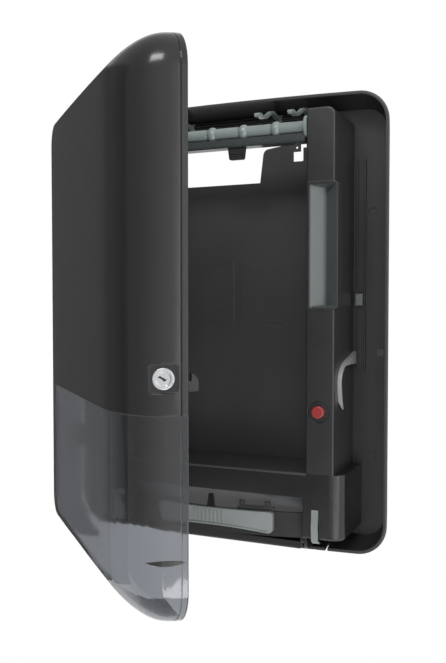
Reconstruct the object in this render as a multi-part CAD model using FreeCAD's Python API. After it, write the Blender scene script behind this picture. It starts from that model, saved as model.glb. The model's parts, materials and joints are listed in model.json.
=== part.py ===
"""Wall dispenser for a folded, continuous web of hand towels, shown with its cover open.

Millimetres. X runs to the right, Y into the wall and Z up. The wall is the plane Y = 0, so the
dispenser lies at negative Y. Inside this file heights are measured from the underside of the
housing; `save` lowers every piece so that the origin is the centre of the wall-screw pattern.
The cover is drawn closed and then turned about its hinge to the angle at which it rests open.
"""

import FreeCAD
import Part
import math
import os

# Overall size
housing_width = 370.0
housing_height = 491.0
total_depth = 101.0
housing_depth = 48.0
corner_radius = 33.0
crown_rise = 3.4
back_draft = 10.5
housing_wall = 3.0
rim_width = 4.0
rim_band = 4.0
rim_rounding = 1.6
standoff = 6.0
floor_thickness = 3.0

# Wall screws
wall_hole_spacing_x = 318.0
wall_hole_spacing_z = 264.0
wall_hole_centre = 234.0
wall_hole_radius = 2.75
wall_hole_countersink = 5.0
knock_out_thickness = 0.8
knock_out_sink = 0.8
wall_boss_radius = 9.0

# Towel compartment
compartment_width = 217.0
column_width = 29.5
column_wall = 2.5
column_reach = 85.0
column_corner = 1.5
column_top_corner = 8.0
column_top_drop = 25.0
shelf_height = 92.0
shelf_thickness = 2.5
back_panel_thickness = 2.0
pad_relief = 0.5
pad_width = 64.0
pad_height = 80.0
pad_waist = 8.0
pad_inner_edge = 4.0
pad_bottom = 238.0

# See-through window behind the roller
window_width = 168.0
window_bottom_drop = 86.0
window_top_drop = 39.0
shoulder_left = 28.5
shoulder_lean = 4.5
shoulder_top_drop = 49.0
shoulder_rise = 5.0
shoulder_corner = 7.0
window_corner = 5.0
notch_left = 68.4
notch_right = 80.2
notch_bottom_drop = 64.5
notch_step_drop = 49.6
notch_corner = 1.0
notch_hook_drop = 53.6
notch_hook_width = 8.6
notch_hook_height = 9.0
notch_hook_root = 1.0
notch_hook_hole = 1.4

# Guide roller, its rail and its end brackets
roller_reach = 77.0
roller_drop = 42.0
roller_radius = 6.5
ring_radius = 8.3
ring_width = 9.0
ring_root = 0.4
ring_pitch = 36.5
ring_count = 5
roller_groove = 0.8
roller_groove_width = 1.6
axle_radius = 2.5
running_clearance = 0.05
bracket_thickness = 3.0
bracket_radius = 11.5
rail_gap = 0.9
rail_front = 6.0
rail_back = 12.0
rail_depth_below = 15.5
rail_corner = 2.5
tab_centre = 28.0
tab_width = 20.0
tab_drop = 12.8
tab_thickness = 4.0
tab_taper = 1.6

# Web fingers above the roller
finger_shaft_radius = 3.0
finger_shaft_reach = 14.5
finger_shaft_drop = 17.0
finger_width = 5.0
finger_thickness = 3.2
finger_hub_wall = 1.6
finger_tip_radius = 2.0
finger_path = ((26.0, 18.0), (36.0, 16.7), (45.5, 16.0), (54.0, 20.0), (62.0, 24.0),
               (73.6, 26.7), (80.5, 25.6), (86.5, 27.2))
finger_bracket_width = 6.0
finger_bracket_height = 16.0

# Raised bay on each column and the scooped grey insert in it
bay_margin = 0.5
bay_overhang = 4.0
bay_proud = 1.0
bay_depth = 14.5
bay_sill = 2.0
bay_head = 3.2
bay_corner = 5.0
bay_edge = 0.6
insert_bottom = 263.2
insert_height = 125.2
insert_left_rim = 2.8
insert_right_rim = 1.0
insert_depth = 12.4
insert_sink = 0.4
scoop_rim = 0.5
scoop_depth = 10.3
scoop_crease = 19.0
scoop_radius = 14.0
scoop_slant = 38.0
scoop_top_slope = 6.5
scoop_bottom_slope = 4.0

# Push button on the right column
button_x = 122.0
button_height = 156.3
button_radius = 6.5
button_pressed_proud = 1.2
button_length = 8.0
button_travel = 3.0
button_edge = 1.4
button_stem_length = 5.0
button_stem_play = 0.6
bezel_radius = 11.1
bezel_sink = 1.0
bezel_edge = 0.5
button_cup_radius = 9.0
button_cup_depth = 16.0
button_cup_wall = 1.5
button_spring_radius = 5.0
button_spring_wire = 1.0

# Lower frame, throat and gate
frame_half_width = 148.0
frame_bottom = 24.0
frame_wall = 2.5
frame_corner = 14.0
frame_edge = 3.0
fascia_height = 26.0
throat_half_width = 105.5
cheek_wall = 3.0
slit_x = 125.0
slit_width = 1.2
slit_bottom = 37.0
slit_height = 8.0
slit_depth = 1.4
ear_bottom = 11.0
ear_length = 32.0
ear_corner = 7.0
ramp_thickness = 2.0
ramp_end_reach = 58.0
ramp_end_height = 40.0
ramp_sag = 5.0
gate_hinge_reach = 64.0
gate_hinge_height = 19.0
gate_pin_radius = 2.5
gate_half_width = 102.0
gate_bow = 14.0
gate_reach = 84.0
gate_thickness = 2.5
gate_bottom = 20.0
gate_top = 46.5
gate_side_gap = 0.5
gate_lug_width = 4.0
gate_lug_radius = 6.0
handle_half_width = 71.0
handle_thickness = 5.0
handle_bottom = 23.5
handle_arch = 5.0
handle_end_radius = 4.0
handle_lip = 1.2
handle_lip_height = 1.6
rib_count = 8
rib_pitch = 4.7
rib_width = 1.6
rib_proud = 0.9
knob_width = 8.0
knob_top_width = 5.0
knob_height = 14.0
knob_corner = 0.8
guide_inner = 30.0
guide_outer = 71.0
guide_height = 4.5
loop_size = 5.5
loop_wall = 1.4
loop_offsets = (5.5, 33.5)
release_tab_inner = 115.4
release_tab_width = 7.0
release_tab_top = 55.0
release_tab_thickness = 2.0
release_tab_crease = 34.0
release_tab_bottom = 19.5
release_toe_length = 6.5
release_tab_bow = 1.2
lip_half_width = 94.0
lip_depth = 10.0
lip_height = 11.0
lip_thickness = 2.2
lip_proud = 4.0
lip_bottom = 1.2
lip_corner = 5.0
lip_under_rounding = 3.4
lip_top_rounding = 1.3
lip_shelf_top = 7.4
rim_notches = ((119.6, 3.0, 12.0, 4.0), (106.6, 2.0, 2.0, 1.6))

# Small parts on the housing floor
floor_rib_gaps = (4.5, 13.0)
floor_rib_width = 1.5
floor_rib_height = 3.0
floor_rib_bottom = 196.0
floor_rib_top_drop = 67.0
clip_gap = 6.8
clip_width = 8.4
clip_height = 13.0
clip_bottom = 265.2
clip_proud = 4.5
clip_edge = 1.2
leaf_width = 4.0
leaf_thickness = 2.5
leaf_top = 209.5
leaf_path = ((26.1, -0.8), (40.1, 2.1), (53.7, 5.9), (63.1, 11.0), (67.9, 16.8), (70.0, 23.9),
             (69.1, 32.2), (67.1, 41.8), (62.4, 51.4))
leaf_root_rise = 5.9
leaf_root_drop = 7.1
leaf_root_tip = 56.0
leaf_tip_length = 10.0

# Cover
cover_gap = 0.6
cover_wall = 3.0
edge_line_reach = 5.3
edge_line_width = 0.8
edge_line_depth = 0.7
side_inset = 87.0
side_power = 2.8
top_inset = 26.5
bottom_inset = 32.0
end_rise = 2.35
front_rounding = 3.0
front_corner_radius = 12.0
level_height = 178.0
outlet_half_width = 112.0
outlet_front_reach = 94.0
outlet_arch = 5.0
outlet_edge_height = 27.0
outlet_corner = 14.0
outlet_arch_depth = 15.0
grip_reach = 65.9
grip_height = 60.0
grip_length = 31.4
grip_width = 4.6
grip_depth = 1.0
rest_opening = 44.0

# Hinge along the left rim
hinge_inset = 4.8
hinge_bead_radius = 4.5
hinge_pin_radius = 2.0
hinge_low = 110.0
hinge_top_drop = 101.0
hinge_bead_end_gap = 3.0
knuckle_length = 24.0
knuckle_end_gap = 0.4
hinge_pin_engagement = 11.0
hinge_relief = 6.2
arm_depth = 24.0
arm_width = 9.0

# Lock in the right side wall of the cover
lock_inset = 2.2
lock_reach = 68.8
lock_height = 207.9
lock_tilt = 17.4
lock_sink = 2.4
lock_head_radius = 8.9
lock_head_thickness = 2.6
lock_dish_radius = 6.6
lock_dish_slope = 1.3
lock_dish_depth = 0.9
lock_barrel_radius = 6.0
lock_barrel_length = 14.0
lock_recess = 23.4
lock_recess_corner = 3.2
lock_seat_thickness = 2.5
lock_seat_margin = 2.5
lock_box_inset = 24.0
lock_box_width = 30.0
lock_box_setback = 3.0
lock_box_floor = 3.5
lock_box_head = 6.0
lock_box_corner = 2.5
keyway_length = 5.2
keyway_width = 1.1
keyway_step = 1.2
keyway_depth = 5.0
shutter_setback = 0.8
shutter_thickness = 1.5
tongue_inset = 11.0
tongue_thickness = 4.0
tongue_drop = 11.4
tongue_height = 15.0
tongue_tip_reach = 37.3
tongue_root_reach = 56.5
tongue_travel = 5.0
tongue_play = 0.2
tongue_notch = 4.0
tongue_notch_depth = 6.4
tongue_nose = 8.2
keeper_setback = 1.5
keeper_wall = 2.0
keeper_web_reach = 34.0
keeper_margin = 1.4
keeper_height = 7.0

# Screws
screw_radius = 1.5
screw_head_radius = 3.5
screw_head_height = 2.4
screw_slot_depth = 0.8
screw_slot_width = 0.8
screw_length = 14.0
screw_post_radius = 4.2
column_screw_low = 140.0
column_screw_top_drop = 71.0

# Values worked out from the sizes above
rim_y = -housing_depth
crown_radius = ((housing_width / 2) ** 2 + crown_rise ** 2) / (2 * crown_rise)
floor_back = -standoff
floor_front = -(standoff + floor_thickness)
panel_front = floor_front - back_panel_thickness
column_inner = compartment_width / 2
column_outer = column_inner + column_width
column_front = -column_reach
column_top = housing_height - column_top_drop
roller_y = -roller_reach
roller_z = housing_height - roller_drop
window_bottom = housing_height - window_bottom_drop
window_top = housing_height - window_top_drop
shaft_y = -finger_shaft_reach
shaft_z = housing_height - finger_shaft_drop
fascia_bottom = shelf_height - fascia_height
button_front = column_front - button_travel - button_pressed_proud
insert_top = insert_bottom + insert_height
bay_left = column_inner + bay_margin
bay_right = column_outer + bay_overhang
bay_front = column_front - bay_proud
column_screw_heights = (column_screw_low, housing_height - column_screw_top_drop)
hinge_heights = (hinge_low, housing_height - hinge_top_drop)
floor_rib_top = housing_height - floor_rib_top_drop
lock_x = housing_width / 2 - lock_inset
lock_box_inner_x = housing_width / 2 - lock_box_inset
tongue_x = housing_width / 2 - tongue_inset
tongue_bottom = lock_height - tongue_drop
tongue_top = tongue_bottom + tongue_height
keeper_front = rim_y + keeper_setback
cover_depth = total_depth - housing_depth - cover_gap
cover_rim_y = rim_y - cover_gap
hinge_x = -housing_width / 2 + hinge_inset
hinge_y = rim_y
sink_floor = floor_front + knock_out_sink
gate_hinge_y = -gate_hinge_reach
gate_radius = (gate_half_width ** 2 + gate_bow ** 2) / (2 * gate_bow)
gate_centre_y = -gate_reach + gate_radius
far = 2 * (housing_width + housing_height)


def vector(x, y, z):
    return FreeCAD.Vector(x, y, z)


def box(x0, x1, y0, y1, z0, z1):
    """Block between two corners given as ranges, in any order."""
    x0, x1 = min(x0, x1), max(x0, x1)
    y0, y1 = min(y0, y1), max(y0, y1)
    z0, z1 = min(z0, z1), max(z0, z1)
    return Part.makeBox(x1 - x0, y1 - y0, z1 - z0, vector(x0, y0, z0))


def rod_x(x0, x1, y, z, radius):
    return Part.makeCylinder(radius, abs(x1 - x0), vector(min(x0, x1), y, z), vector(1, 0, 0))


def rod_y(y0, y1, x, z, radius):
    return Part.makeCylinder(radius, abs(y1 - y0), vector(x, min(y0, y1), z), vector(0, 1, 0))


def rod_z(z0, z1, x, y, radius):
    return Part.makeCylinder(radius, abs(z1 - z0), vector(x, y, min(z0, z1)), vector(0, 0, 1))


def fuse(pieces):
    """Join overlapping solids into one and drop the seams between them."""
    whole = pieces[0].multiFuse(pieces[1:])
    return whole.removeSplitter()


def mirror_x(shape):
    return shape.mirror(vector(0, 0, 0), vector(1, 0, 0))


def both_sides(shape):
    """A piece on the right and its mirror image on the left."""
    return [shape, mirror_x(shape)]


def round_edges(shape, radius, wanted):
    """Round the edges whose midpoint passes the test `wanted`."""
    edges = []
    for edge in shape.Edges:
        middle = edge.valueAt((edge.FirstParameter + edge.LastParameter) / 2)
        if wanted(middle, edge):
            edges.append(edge)
    return shape.makeFillet(radius, edges)


def runs_along(edge, axis):
    direction = edge.tangentAt((edge.FirstParameter + edge.LastParameter) / 2)
    return abs(getattr(direction, axis)) > 0.999


def near(value, target):
    return abs(value - target) < 0.02


def plate(points, y0, y1):
    """Flat plate whose outline is a list of (x, z) corners."""
    corners = [vector(x, y0, z) for x, z in points]
    face = Part.Face(Part.makePolygon(corners + corners[:1]))
    return face.extrude(vector(0, y1 - y0, 0))


def side_profile(points, x0, x1):
    """Prism along X whose outline is a list of (y, z) corners."""
    corners = [vector(x0, y, z) for y, z in points]
    face = Part.Face(Part.makePolygon(corners + corners[:1]))
    return face.extrude(vector(x1 - x0, 0, 0))


def smooth_curve(points):
    curve = Part.BSplineCurve()
    curve.interpolate(points)
    return curve


def bent_strip(points, thickness, x0, x1):
    """Strip of even thickness that follows a smooth curve through (y, z) points."""
    curve = smooth_curve([vector(x0, y, z) for y, z in points])
    upper = []
    lower = []
    steps = 2 * len(points)
    for step in range(steps + 1):
        parameter = curve.FirstParameter + (curve.LastParameter - curve.FirstParameter) * step / steps
        point = curve.value(parameter)
        direction = curve.tangent(parameter)[0]
        normal = vector(0, -direction.z, direction.y)
        upper.append(point + normal * (thickness / 2))
        lower.append(point - normal * (thickness / 2))
    lower.reverse()
    edges = [smooth_curve(upper).toShape()]
    edges.append(Part.makeLine(upper[-1], lower[0]))
    edges.append(smooth_curve(lower).toShape())
    edges.append(Part.makeLine(lower[-1], upper[0]))
    return Part.Face(Part.Wire(edges)).extrude(vector(x1 - x0, 0, 0))


def outline(half_width, top, bottom, radius, crown, y):
    """Rounded rectangle in the plane Y = y whose top and bottom bow outwards with radius `crown`."""
    centre_x = half_width - radius
    rise = math.sqrt((crown - radius) ** 2 - centre_x ** 2)
    lean = math.atan2(rise, centre_x)
    high = top - crown + rise
    low = bottom + crown - rise

    def corner(centre_z, turn):
        return vector(centre_x + radius * math.cos(turn), y, centre_z + radius * math.sin(turn))

    right_top = [corner(high, lean * part) for part in (0, 0.5, 1)]
    right_bottom = [corner(low, -lean * part) for part in (1, 0.5, 0)]
    left_top = [vector(-point.x, y, point.z) for point in reversed(right_top)]
    left_bottom = [vector(-point.x, y, point.z) for point in reversed(right_bottom)]
    curves = [
        Part.Arc(*right_top),
        Part.Arc(right_top[2], vector(0, y, top), left_top[0]),
        Part.Arc(*left_top),
        Part.LineSegment(left_top[2], left_bottom[0]),
        Part.Arc(*left_bottom),
        Part.Arc(left_bottom[2], vector(0, y, bottom), right_bottom[0]),
        Part.Arc(*right_bottom),
        Part.LineSegment(right_bottom[2], right_top[0]),
    ]
    return Part.Wire([curve.toShape() for curve in curves])


def loft(wires, ruled=False):
    return Part.makeLoft(wires, True, ruled)


def housing_outline(y, offset):
    """Outline of the housing at depth y, moved inwards by `offset`."""
    draft = back_draft * (1 + y / housing_depth)
    inward = draft + offset
    return outline(housing_width / 2 - inward, housing_height - inward, inward, corner_radius - inward,
                   crown_radius - inward, y)


def housing_block(y0, y1, offset):
    return loft([housing_outline(y0, offset), housing_outline(y1, offset)], True)


def save(name, shape, opened=False):
    """Write one node, in the frame of the whole part."""
    placed = shape.copy()
    if opened:
        placed.rotate(vector(hinge_x, hinge_y, 0), vector(0, 0, 1), -rest_opening)
    placed.translate(vector(0, 0, -wall_hole_centre))
    placed.exportStep("parts/" + name + ".step")
    print(name, len(placed.Solids), "solids", round(placed.Volume), "mm3", placed.isValid())


def wall_hole_places():
    for x in (-wall_hole_spacing_x / 2, wall_hole_spacing_x / 2):
        for z in (-wall_hole_spacing_z / 2, wall_hole_spacing_z / 2):
            yield x, wall_hole_centre + z


def hinge_bead():
    """Round bead along the left rim. It closes the gap where the cover's edge is cut back."""
    low = corner_radius + hinge_bead_end_gap
    high = housing_height - corner_radius - hinge_bead_end_gap
    return rod_z(low, high, hinge_x, hinge_y, hinge_bead_radius)


def knuckle_notches():
    """Room in the rim for the cover's two hinge knuckles and their swinging arms."""
    reach = hinge_bead_radius + knuckle_end_gap
    half = knuckle_length / 2 + knuckle_end_gap
    notches = []
    for height in hinge_heights:
        back = hinge_y + reach + hinge_bead_radius / 2
        notches.append(box(hinge_x - far, hinge_x + reach, hinge_y - reach, back,
                           height - half, height + half))
    return notches


def pin_rods(radius):
    rods = []
    for height in hinge_heights:
        half = knuckle_length / 2 + hinge_pin_engagement
        rods.append(rod_z(height - half, height + half, hinge_x, hinge_y, radius))
    return rods


def screw_places():
    """Column screws, as x and height, on the middle line of each column."""
    middle = (column_inner + column_outer) / 2
    for x in (-middle, middle):
        for height in column_screw_heights:
            yield x, height


def floor_ribs():
    """Two slim ribs on the tray floor, to the right of the right column."""
    ribs = []
    for gap in floor_rib_gaps:
        x = column_outer + gap
        ribs.append(box(x - floor_rib_width / 2, x + floor_rib_width / 2, floor_front,
                        floor_front - floor_rib_height, floor_rib_bottom, floor_rib_top))
    return ribs


def rim_notch_rooms():
    """Small nicks in the lower rim, near each end of the outlet."""
    rooms = []
    for x, width, depth, height in rim_notches:
        edge = crown_radius - math.sqrt(crown_radius ** 2 - x ** 2)
        top = edge + height + back_draft * depth / housing_depth
        rooms.append(box(x - width / 2, x + width / 2, rim_y - 1, rim_y + depth, -1, top))
    return rooms


def make_housing():
    """Shallow tray: drafted walls, a floor held off the wall, bosses, ribs, window and rim.

    Each wall-screw hole is closed at the front by a thin skin that is broken out for the screw.
    """
    body = housing_block(0, rim_y, 0)
    body = round_edges(body, rim_rounding, lambda p, e: near(p.y, rim_y))
    front_room = housing_block(floor_front, rim_y + rim_band, housing_wall)
    rim_room = housing_block(rim_y + rim_band, rim_y, rim_width)
    back_room = housing_block(0, floor_back, housing_wall)
    body = body.cut(fuse([front_room, rim_room])).cut(back_room)
    body = fuse([body, hinge_bead()])
    extras = []
    for x, z in wall_hole_places():
        extras.append(rod_y(0, floor_back, x, z, wall_boss_radius))
    for rib in floor_ribs():
        extras += both_sides(rib)
    body = fuse([body] + extras)
    half_window = window_width / 2
    cuts = [box(-half_window, half_window, 1, floor_front - 1, window_bottom, window_top)]
    for x, z in wall_hole_places():
        cuts.append(rod_y(0, sink_floor + knock_out_thickness, x, z, wall_hole_radius))
        cuts.append(rod_y(sink_floor, floor_front, x, z, wall_hole_countersink))
    for x, z in screw_places():
        cuts.append(rod_y(floor_back, floor_front, x, z, screw_radius))
    for notch in rim_notch_rooms():
        cuts += both_sides(notch)
    cuts += knuckle_notches()
    cuts += pin_rods(hinge_pin_radius)
    for cut in cuts:
        body = body.cut(cut)
    return body.removeSplitter()


def make_back_panel():
    """Thin panel that lines the compartment. Its top is stepped round the window."""
    edge = column_inner - column_wall
    half_window = window_width / 2
    shoulder_top = housing_height - shoulder_top_drop
    notch_bottom = housing_height - notch_bottom_drop
    notch_step = housing_height - notch_step_drop
    points = [(-edge, shelf_height), (edge, shelf_height), (edge, window_top), (half_window, window_top),
              (half_window, notch_step), (notch_right, notch_step),
              (notch_right, notch_bottom), (notch_left, notch_bottom),
              (notch_left, shoulder_top + shoulder_rise), (shoulder_left + shoulder_lean, shoulder_top),
              (shoulder_left, window_bottom), (-half_window, window_bottom), (-half_window, window_top),
              (-edge, window_top)]
    panel = plate(points, floor_front, panel_front)
    rounded = {(shoulder_left + shoulder_lean, shoulder_top): shoulder_corner,
               (-half_window, window_bottom): window_corner,
               (notch_left, notch_bottom): notch_corner, (notch_right, notch_bottom): notch_corner}
    for (x, z), radius in rounded.items():
        panel = round_edges(panel, radius, lambda p, e: near(p.x, x) and near(p.z, z) and runs_along(e, "y"))
    hook_bottom = housing_height - notch_hook_drop
    hook = box(notch_left - notch_hook_root, notch_left + notch_hook_width, floor_front, panel_front,
               hook_bottom, hook_bottom + notch_hook_height)
    hole = rod_y(floor_front + 1, panel_front - 1, notch_left + notch_hook_width / 2,
                 hook_bottom + notch_hook_height / 2, notch_hook_hole)
    panel = fuse([panel, hook]).cut(hole)
    pad = make_pad()
    return fuse([panel] + both_sides(pad))


def make_pad():
    """Raised field with its upper and lower edge drawn in at the middle."""
    x0 = pad_inner_edge
    x1 = pad_inner_edge + pad_width
    middle = (x0 + x1) / 2
    z0 = pad_bottom
    z1 = pad_bottom + pad_height
    y0 = panel_front
    top = Part.Arc(vector(x1, y0, z1), vector(middle, y0, z1 - pad_waist), vector(x0, y0, z1)).toShape()
    bottom = Part.Arc(vector(x0, y0, z0), vector(middle, y0, z0 + pad_waist), vector(x1, y0, z0)).toShape()
    left = Part.makeLine(vector(x0, y0, z1), vector(x0, y0, z0))
    right = Part.makeLine(vector(x1, y0, z0), vector(x1, y0, z1))
    face = Part.Face(Part.Wire([top, left, bottom, right]))
    return face.extrude(vector(0, -pad_relief, 0))


def bay_block():
    """Raised surround on the column's front. It stands out past the column's outer corner."""
    block = box(bay_left, bay_right, bay_front, column_front + bay_depth,
                insert_bottom - bay_sill, insert_top + bay_head)
    block = round_edges(block, bay_corner, lambda p, e: near(p.x, bay_right) and runs_along(e, "y"))
    return round_edges(block, bay_edge, lambda p, e: near(p.y, bay_front))


def insert_block():
    """Block that fills the bay's pocket."""
    return box(bay_left + insert_left_rim, bay_right - insert_right_rim,
               bay_front + insert_sink, column_front + insert_depth, insert_bottom, insert_top)


def make_column():
    """Right column: a deep channel, open towards the tray, with posts for its two screws."""
    shell = box(column_inner, column_outer, column_front, floor_front, shelf_height, column_top)
    shell = round_edges(shell, column_top_corner, lambda p, e: near(p.x, column_outer)
                        and near(p.z, column_top) and runs_along(e, "y"))
    shell = round_edges(shell, column_corner,
                        lambda p, e: near(p.y, column_front) and not near(p.z, shelf_height))
    room = box(column_inner + column_wall, column_outer - column_wall, column_front + 2 * column_wall,
               floor_front, shelf_height + column_wall, column_top - column_wall)
    room = round_edges(room, column_top_corner - column_wall,
                       lambda p, e: near(p.x, column_outer - column_wall)
                       and near(p.z, column_top - column_wall) and runs_along(e, "y"))
    shell = shell.cut(room)
    posts = []
    holes = []
    middle = (column_inner + column_outer) / 2
    for height in column_screw_heights:
        post_end = floor_front - screw_length
        posts.append(rod_y(floor_front, post_end, middle, height, screw_post_radius))
        bridge = box(column_inner + column_wall / 2, column_outer - column_wall / 2, floor_front,
                     post_end, height - column_wall / 2, height + column_wall / 2)
        posts.append(bridge)
        holes.append(rod_y(floor_front, floor_back - screw_length, middle, height, screw_radius))
    shell = fuse([shell, bay_block()] + posts)
    for hole in holes:
        shell = shell.cut(hole)
    mouth = insert_block()
    mouth.translate(vector(0, -insert_sink - 1, 0))
    return shell.cut(fuse([mouth, insert_block()]))


def make_insert():
    """Grey insert with a scooped front: a slanting left side, a creased bottom and sloping ends."""
    block = insert_block()
    x0 = bay_left + insert_left_rim + scoop_rim
    x1 = bay_right - insert_right_rim - scoop_rim
    front = bay_front + insert_sink
    crease_x = x0 + scoop_crease
    crease_y = front + scoop_depth
    slant = math.radians(scoop_slant)
    bend_x = crease_x - scoop_radius * math.sin(slant)
    bend_y = crease_y - scoop_radius * (1 - math.cos(slant))
    middle_x = crease_x - scoop_radius * math.sin(slant / 2)
    middle_y = crease_y - scoop_radius * (1 - math.cos(slant / 2))
    z0 = insert_bottom + scoop_rim
    z1 = insert_top - scoop_rim
    start = vector(x0, front, z0)
    end = vector(x1, front, z0)
    crease = vector(crease_x, crease_y, z0)
    bend = vector(bend_x, bend_y, z0)
    edges = [Part.makeLine(start, bend)]
    edges.append(Part.Arc(bend, vector(middle_x, middle_y, z0), crease).toShape())
    edges.append(Part.makeLine(crease, end))
    edges.append(Part.makeLine(end, vector(x1, front - 1, z0)))
    edges.append(Part.makeLine(vector(x1, front - 1, z0), vector(x0, front - 1, z0)))
    edges.append(Part.makeLine(vector(x0, front - 1, z0), start))
    section = Part.Face(Part.Wire(edges)).extrude(vector(0, 0, z1 - z0))
    ends = side_profile([(front - 1, z0), (front, z0), (crease_y, z0 + scoop_bottom_slope),
                         (crease_y + 1, z0 + scoop_bottom_slope), (crease_y + 1, z1 - scoop_top_slope),
                         (crease_y, z1 - scoop_top_slope), (front, z1), (front - 1, z1)], x0 - 1, x1 + 1)
    return block.cut(section.common(ends))


def make_towel_shelf():
    """Floor of the compartment, on which the stack of towels stands."""
    shelf = box(-column_inner, column_inner, column_front, panel_front,
                shelf_height - shelf_thickness, shelf_height)
    return round_edges(shelf, 1.0, lambda p, e: near(p.y, column_front) and near(p.z, shelf_height))


def make_lower_frame():
    """Lower moulding: fascia under the shelf, a hollow cheek on each side and ears for the gate."""
    block = box(-frame_half_width, frame_half_width, column_front, floor_front, frame_bottom, shelf_height)
    block = round_edges(block, frame_corner,
                        lambda p, e: near(p.y, column_front) and runs_along(e, "z"))
    block = round_edges(block, frame_edge,
                        lambda p, e: near(p.z, frame_bottom) and not near(p.y, floor_front))
    seat = box(-column_inner, column_inner, column_front - 1, floor_front + 1,
               shelf_height - shelf_thickness, shelf_height + 1)
    throat = box(-throat_half_width, throat_half_width, column_front - 1, floor_front + 1,
                 frame_bottom - 1, fascia_bottom)
    upper_room = box(-throat_half_width, throat_half_width, column_front + frame_wall, floor_front + 1,
                     fascia_bottom - 1, shelf_height)
    block = block.cut(seat).cut(throat).cut(upper_room)
    cheek_room = box(throat_half_width + cheek_wall, frame_half_width - frame_wall,
                     column_front + frame_wall, floor_front + 1, frame_bottom + frame_wall,
                     shelf_height - shelf_thickness - frame_wall)
    cheek_room = round_edges(cheek_room, frame_corner - frame_wall,
                             lambda p, e: near(p.x, frame_half_width - frame_wall)
                             and near(p.y, column_front + frame_wall) and runs_along(e, "z"))
    for room in both_sides(cheek_room):
        block = block.cut(room)
    ear = box(throat_half_width, throat_half_width + cheek_wall, gate_hinge_y - ear_length / 2,
              gate_hinge_y + ear_length / 2, ear_bottom, frame_bottom + frame_wall)
    ear = round_edges(ear, ear_corner, lambda p, e: near(p.z, ear_bottom) and runs_along(e, "x"))
    block = fuse([block] + both_sides(ear))
    bore = rod_x(throat_half_width - 1, throat_half_width + cheek_wall + 1, gate_hinge_y,
                 gate_hinge_height, gate_pin_radius + running_clearance)
    slit = box(slit_x - slit_width / 2, slit_x + slit_width / 2, column_front - 1, column_front + slit_depth,
               slit_bottom, slit_bottom + slit_height)
    for hole in both_sides(bore) + both_sides(slit):
        block = block.cut(hole)
    return block


def make_throat_ramp():
    """Curved inner wall of the throat that the web slides down."""
    top_y = column_front + frame_wall + ramp_thickness / 2
    top_z = fascia_bottom + 1.5
    middle_y = (top_y - ramp_end_reach) / 2 - ramp_sag / 2
    middle_z = (top_z + ramp_end_height) / 2 + ramp_sag
    points = [(top_y, top_z), (middle_y, middle_z), (-ramp_end_reach, ramp_end_height)]
    return bent_strip(points, ramp_thickness, -throat_half_width, throat_half_width)


def gate_band(half_width, inner, outer, z0, z1):
    """Piece of an upright bowed wall, between two distances from the gate's curve."""
    outer_rod = rod_z(z0, z1, 0, gate_centre_y, gate_radius + outer)
    inner_rod = rod_z(z0 - 1, z1 + 1, 0, gate_centre_y, gate_radius + inner)
    window = box(-half_width, half_width, -gate_reach - outer - 1, 0, z0, z1)
    return outer_rod.common(window).cut(inner_rod)


def make_gate_plate():
    """Bowed lower flap with a lug and a hinge pin at each end."""
    wall = gate_band(gate_half_width, -gate_thickness, 0, gate_bottom, gate_top)
    lug_inner = gate_half_width - gate_lug_width
    lug = fuse([
        rod_x(lug_inner, gate_half_width, gate_hinge_y, gate_hinge_height, gate_lug_radius),
        box(lug_inner, gate_half_width, gate_hinge_y - gate_lug_radius, gate_hinge_y,
            gate_hinge_height - 2, gate_hinge_height + gate_lug_radius),
    ])
    shoulder = rod_x(gate_half_width, throat_half_width - gate_side_gap, gate_hinge_y,
                     gate_hinge_height, gate_lug_radius - 1)
    pin = rod_x(gate_half_width, throat_half_width + cheek_wall, gate_hinge_y,
                gate_hinge_height, gate_pin_radius)
    pieces = [wall]
    for piece in (lug, shoulder, pin):
        pieces += both_sides(piece)
    return fuse(pieces)


def make_handle():
    """Pale bowed grip: arched lower edge, rounded ends, a bright lip and ribs at the middle."""
    bar = gate_band(handle_half_width, 0, handle_thickness, handle_bottom, gate_top)
    arch_radius = (handle_half_width ** 2 + handle_arch ** 2) / (2 * handle_arch)
    arch = rod_y(-far, 0, 0, handle_bottom + handle_arch - arch_radius, arch_radius)
    bar = bar.cut(arch)
    bar = round_edges(bar, handle_end_radius,
                      lambda p, e: near(abs(p.x), handle_half_width) and runs_along(e, "y"))
    lip = gate_band(handle_half_width - handle_end_radius, 0, handle_thickness + handle_lip,
                    handle_bottom, gate_top)
    lip_top = rod_y(-far, 0, 0, handle_bottom + handle_arch - arch_radius, arch_radius + handle_lip_height)
    lip = lip.common(lip_top).cut(arch)
    pieces = [bar, lip]
    start = -(rib_count - 1) / 2
    for index in range(rib_count):
        x = (start + index) * rib_pitch
        rib = gate_band(far, 0, handle_thickness + rib_proud, handle_bottom + handle_arch + 3, gate_top - 2)
        slot = box(x - rib_width / 2, x + rib_width / 2, -far, 0, 0, far)
        pieces.append(rib.common(slot))
    return fuse(pieces)


def make_gate_guides():
    """Low walls on the gate's top edge, each with two small square loops."""
    base = gate_band(guide_outer, -gate_thickness, 0, gate_top, gate_top + guide_height)
    base = base.common(box(guide_inner, guide_outer, -far, 0, 0, far))
    slope = plate([(guide_inner - 1, gate_top + guide_height + 1), (guide_inner + guide_height,
                  gate_top + guide_height + 1), (guide_inner - 1, gate_top)], -far, 0)
    base = base.cut(slope)
    pieces = [base]
    for offset in loop_offsets:
        x = guide_inner + offset
        z = gate_top + guide_height
        outer = gate_band(far, -gate_thickness, 0, z - 0.5, z + loop_size)
        outer = outer.common(box(x - loop_size / 2, x + loop_size / 2, -far, 0, 0, far))
        hole = box(x - loop_size / 2 + loop_wall, x + loop_size / 2 - loop_wall, -far, 0,
                   z + loop_wall / 2, z + loop_size - loop_wall)
        pieces.append(outer.cut(hole))
    return fuse(pieces)


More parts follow.
